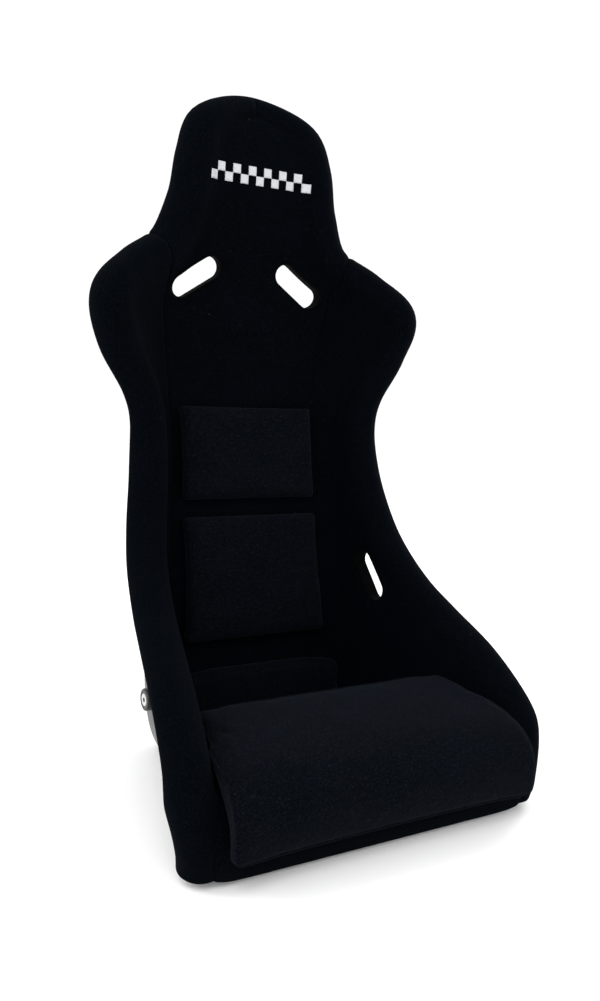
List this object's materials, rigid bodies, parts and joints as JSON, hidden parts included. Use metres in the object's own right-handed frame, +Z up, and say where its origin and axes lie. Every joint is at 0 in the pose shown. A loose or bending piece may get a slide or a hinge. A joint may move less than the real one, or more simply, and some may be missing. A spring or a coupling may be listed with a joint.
{
  "type": "racing seat",
  "caption": "Fixed-back bucket racing seat with a moulded shell, velour covers, removable hook-and-loop cushions, harness slots and side-mount inserts.",
  "frame": {"origin": "on the floor plane under the middle of the seat's bounding box", "axes": "+Z up, -Y the way the occupant faces, +X the occupant's left"},
  "size_m": [0.5638, 0.5901, 0.955],
  "materials": {
    "gelcoat": "black glass-fibre laminate with a semi-gloss gelcoat",
    "edging_rubber": "black rubber edging",
    "foam": "dark grey open-cell foam",
    "velour": "black velour with a soft blue-grey sheen",
    "cushion_velour": "black velour, a little lighter than the covers",
    "hook_tape": "black hook-and-loop tape",
    "liner_plastic": "smooth dark grey moulded plastic",
    "zinc_steel": "zinc-plated steel",
    "emblem_thread": "light grey satin-stitched thread"
  },
  "bodies": {
    "seat": {"shell": "gelcoat", "edge_trim": "edging_rubber", "head_foam": "foam", "head_cover": "velour", "back_foam": "foam", "back_cover": "velour", "pan_foam": "foam", "pan_cover": "velour", "lip_foam": "foam", "lip_cover": "velour", "bolster_left_foam": "foam", "bolster_left_cover": "velour", "bolster_right_foam": "foam", "bolster_right_cover": "velour", "shoulder_slot_liner_left": "liner_plastic", "shoulder_slot_liner_right": "liner_plastic", "lap_slot_liner_left": "liner_plastic", "lap_slot_liner_right": "liner_plastic", "front_mount_insert_left": "zinc_steel", "front_mount_insert_right": "zinc_steel", "rear_mount_insert_left": "zinc_steel", "rear_mount_insert_right": "zinc_steel", "head_emblem": "emblem_thread"},
    "seat_cushion": {"seat_cushion": "cushion_velour", "seat_cushion_hook_strip_left": "hook_tape", "seat_cushion_hook_strip_right": "hook_tape"},
    "back_pad_lower": {"back_pad_lower": "cushion_velour", "back_pad_lower_hook_strip_left": "hook_tape", "back_pad_lower_hook_strip_right": "hook_tape"},
    "back_pad_upper": {"back_pad_upper": "cushion_velour", "back_pad_upper_hook_strip_left": "hook_tape", "back_pad_upper_hook_strip_right": "hook_tape"}
  },
  "joints": [
    {"name": "seat_cushion_lift", "type": "slide", "parent": "seat", "child": "seat_cushion", "axis": [0, -0.349, 0.9371], "range_m": [0, 0.06]},
    {"name": "back_pad_lower_lift", "type": "slide", "parent": "seat", "child": "back_pad_lower", "axis": [0, -0.98, 0.199], "range_m": [0, 0.06]},
    {"name": "back_pad_upper_lift", "type": "slide", "parent": "seat", "child": "back_pad_upper", "axis": [0, -0.97, 0.243], "range_m": [0, 0.06]}
  ]
}
